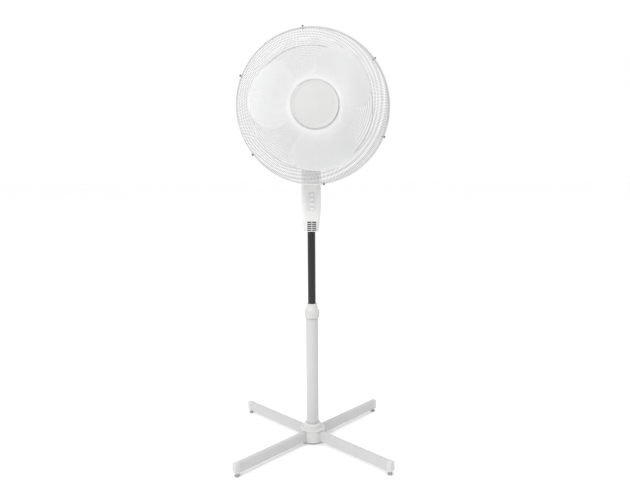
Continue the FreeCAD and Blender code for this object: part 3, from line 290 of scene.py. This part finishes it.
def reshape_housing(node):
    """Replace a node of the housing by a copy whose sides follow the drawn outline."""
    mesh = nodes[node].data.copy()
    for vertex in mesh.vertices:
        side = vertex.co.dot(right_axis)
        if abs(side) <= fixed_half_width:
            continue
        height = vertex.co.z - housing_bottom
        stretch = ((half_width(height, full_taper) - fixed_half_width)
                   / (half_width(height, plain_taper) - fixed_half_width))
        new_side = fixed_half_width + (abs(side) - fixed_half_width) * stretch
        vertex.co += right_axis * (math.copysign(new_side, side) - side)
    piece = add_object(node + "_shell", mesh)
    finish_edges(piece, edge_widths.get(node, 0.0))
    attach(piece, "column")
    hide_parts(node)


for part in ("control_housing_front", "control_housing_rear", "housing_screws", "switch_block"):
    reshape_housing(part)


# ---------------------------------------------------------------- guard of bent round wire
rim_wire = 0.0024           # radius of the rim's wire
guard_low, guard_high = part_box("front_grille")
rim_radius = (guard_high[2] - guard_low[2]) / 2 - rim_wire
rim_forward = 0.118
rim_spacing = 0.0065        # between the two rims
front_depth = 0.054
rear_depth = 0.047
wire_radius = 0.0007
wire_pairs = 150
wire_steps = 18
wire_swirl = 0.045          # how far each wire's line passes from the axis
tie_wire = 0.0011
centre_ring = 0.0605
middle_ring = 0.067
outer_ring = 0.172
dome_power = 2.6
clip_angle = 37.5


def dome_at(share, rim, depth):
    """Radius and forward distance on the domed profile, from the centre ring (0) to the rim (1)."""
    turn = share * math.pi / 2
    radius = centre_ring + (rim_radius - centre_ring) * math.sin(turn) ** (2 / dome_power)
    return radius, rim + depth * max(math.cos(turn), 0.0) ** (2 / dome_power)


def dome_share(radius):
    """Share of the profile where it reaches a radius."""
    run = (radius - centre_ring) / (rim_radius - centre_ring)
    return math.asin(run ** (dome_power / 2)) / (math.pi / 2)


def around(angle, along, aside, forward):
    """A point beside a wire's line, at an angle round the motor axis."""
    right = along * math.cos(angle) - aside * math.sin(angle)
    up = along * math.sin(angle) + aside * math.cos(angle)
    return head_point(right, forward, motor_height + up)


def add_spline(curve, points, cyclic=False):
    """Add a smooth line through points to a curve."""
    spline = curve.splines.new("POLY")
    spline.points.add(len(points) - 1)
    for target, point in zip(spline.points, points):
        target.co = (*point, 1)
    spline.use_cyclic_u = cyclic
    spline.use_smooth = True


def wire_curve(name, radius, material):
    """An empty curve whose lines are round wire of a radius."""
    curve = bpy.data.curves.new(name, "CURVE")
    curve.dimensions = "3D"
    curve.bevel_depth = radius
    curve.bevel_resolution = 2
    curve.use_fill_caps = True
    curve.materials.append(material)
    return add_object(name, curve), curve


def guard(name, rim, depth, side, material):
    """The wires, tie rings and rim of one half of the guard, as separate curves."""
    gap = math.radians(180 / wire_pairs)
    first = math.radians(clip_angle) + gap / 2 - side * math.asin(wire_swirl / rim_radius)
    wires, curve = wire_curve(name + "_wires", wire_radius, material)
    for k in range(2 * wire_pairs):
        start = 0.0 if k % 2 == 0 else dome_share(middle_ring)
        points = []
        for step in range(wire_steps + 1):
            radius, forward = dome_at(start + (1 - start) * step / wire_steps, rim, depth)
            along = math.sqrt(radius ** 2 - wire_swirl ** 2)
            points.append(around(first + k * gap, along, side * wire_swirl, forward))
        add_spline(curve, points)
    inward = wire_radius if depth < 0 else -wire_radius
    ties, tie_curve = wire_curve(name + "_rings", tie_wire, material)
    rings = [(centre_ring, rim + depth)]
    for radius in (middle_ring, outer_ring):
        place = dome_at(dome_share(radius), rim, depth)
        rings.append((place[0], place[1] + inward))
    for radius, forward in rings:
        add_spline(tie_curve, ring_points(radius, forward), True)
    edge, edge_curve = wire_curve(name + "_rim", rim_wire, materials["guard_wire"])
    edge_curve.bevel_resolution = 4
    add_spline(edge_curve, ring_points(rim_radius, rim), True)
    for piece in (wires, ties, edge):
        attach(piece, "head")
    return [wires, ties, edge]


def ring_points(radius, forward, count=180):
    """Points evenly spaced round the motor axis."""
    return [around(2 * math.pi * k / count, radius, 0, forward) for k in range(count)]


front_pieces = guard("front_guard", rim_forward + rim_spacing / 2, front_depth, 1,
                     materials["guard_wire"])
for piece in front_pieces:
    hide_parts("front_grille")


# ---------------------------------------------------------------- turned pieces
def revolve(name, outline, place, count, material, body):
    """A closed mesh: place(turn, radius, distance) turns each outline point into a ring."""
    mesh = bpy.data.meshes.new(name)
    build = bmesh.new()
    rings = []
    for radius, distance in outline:
        rings.append([build.verts.new(place(2 * math.pi * k / count, radius, distance))
                      for k in range(count)])
    for low, high in zip(rings, rings[1:] + rings[:1]):
        for k in range(count):
            after = (k + 1) % count
            build.faces.new((low[k], high[k], high[after], low[after]))
    bmesh.ops.recalc_face_normals(build, faces=build.faces)
    build.to_mesh(mesh)
    build.free()
    mesh.materials.append(materials[material])
    piece = add_object(name, mesh)
    finish_edges(piece, 0.0)
    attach(piece, body)
    return piece


def round_motor(turn, radius, forward):
    """A point on a circle round the motor axis."""
    return around(turn, radius, 0, forward)


def round_pole(turn, radius, height):
    """A point on a circle round the pole's axis."""
    return (radius * math.cos(turn), radius * math.sin(turn), height)


# The rear guard's wires and plate take the darker rear_guard_wire colour, which is painted shade.
rear_pieces = guard("rear_guard", rim_forward - rim_spacing / 2, -rear_depth, -1,
                    materials["rear_guard_wire"])
plate_near = 0.066
plate_far = plate_near + 0.0012
bead_far = plate_far + 0.0012       # a pressed bead stands forward of the plate
plate_hole = 0.01905
plate_edge = 0.0615
plate = revolve("rear_guard_plate", [
    (plate_hole, plate_near), (plate_hole, plate_far), (0.030, plate_far), (0.034, bead_far),
    (0.040, bead_far), (0.044, plate_far), (plate_edge, plate_far), (plate_edge, plate_near),
    (0.044, plate_near), (0.040, plate_far), (0.034, plate_far), (0.030, plate_near),
], round_motor, 160, "rear_guard_wire", "head")
for piece in rear_pieces + [plate]:
    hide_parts("rear_grille")


# A dark grey ring round the top of the pole, just under the height collar's skirt: painted shade standing in for
# the collar's shadow on the pole.
pole_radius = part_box("outer_pole")[1][0]
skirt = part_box("height_collar")[0][2]
revolve("collar_painted_shade_ring", [
    (pole_radius - 0.0003, skirt - 0.0026), (pole_radius + 0.0005, skirt - 0.0026),
    (pole_radius + 0.0009, skirt - 0.0016), (pole_radius + 0.0009, skirt - 0.0001),
    (pole_radius - 0.0003, skirt - 0.0001),
], round_pole, 96, "grey_rubber", "base")


# ---------------------------------------------------------------- floor, light and camera
def stage_floor():
    """A wide pale floor with a faint uneven sheen."""
    mesh = bpy.data.meshes.new("floor")
    build = bmesh.new()
    bmesh.ops.create_grid(build, x_segments=8, y_segments=8, size=40.0)
    build.to_mesh(mesh)
    build.free()
    mesh.materials.append(materials["floor_paint"])
    floor = add_object("floor", mesh)
    floor.location = (0, 0, -0.0005)


def area_light(name, place, aim, size, watts):
    """A soft square light aimed at a point."""
    lamp = bpy.data.lights.new(name, "AREA")
    lamp.shape = "SQUARE"
    lamp.size = size
    lamp.energy = watts
    piece = add_object(name, lamp)
    piece.location = place
    piece.rotation_euler = (Vector(aim) - Vector(place)).to_track_quat("-Z", "Y").to_euler()


stage_floor()
world = bpy.data.worlds.new("studio")
bpy.context.scene.world = world
world.use_nodes = True
world.node_tree.nodes["Background"].inputs["Color"].default_value = (1, 1, 1, 1)
world.node_tree.nodes["Background"].inputs["Strength"].default_value = 1.0
area_light("key", (-2.2, -2.4, 3.2), (0, 0, 0.7), 1.4, 72)
area_light("top", (0.3, 0.2, 3.6), (0, 0, 0.6), 1.2, 10)

camera_down = 7.877     # degrees below level
camera_turn = -0.731
camera_roll = -0.361
camera = bpy.data.cameras.new("camera")
camera.sensor_width = 36
camera.lens = 32.66
viewpoint = add_object("camera", camera)
viewpoint.location = (-0.0114, -1.7285, 0.8516)
aim = Euler((math.radians(90 - camera_down), 0, math.radians(camera_turn))).to_matrix()
roll = Matrix.Rotation(math.radians(camera_roll), 3, "Z")
viewpoint.rotation_euler = (aim @ roll).to_euler()
bpy.context.scene.camera = viewpoint
bpy.context.scene.view_settings.view_transform = "Standard"
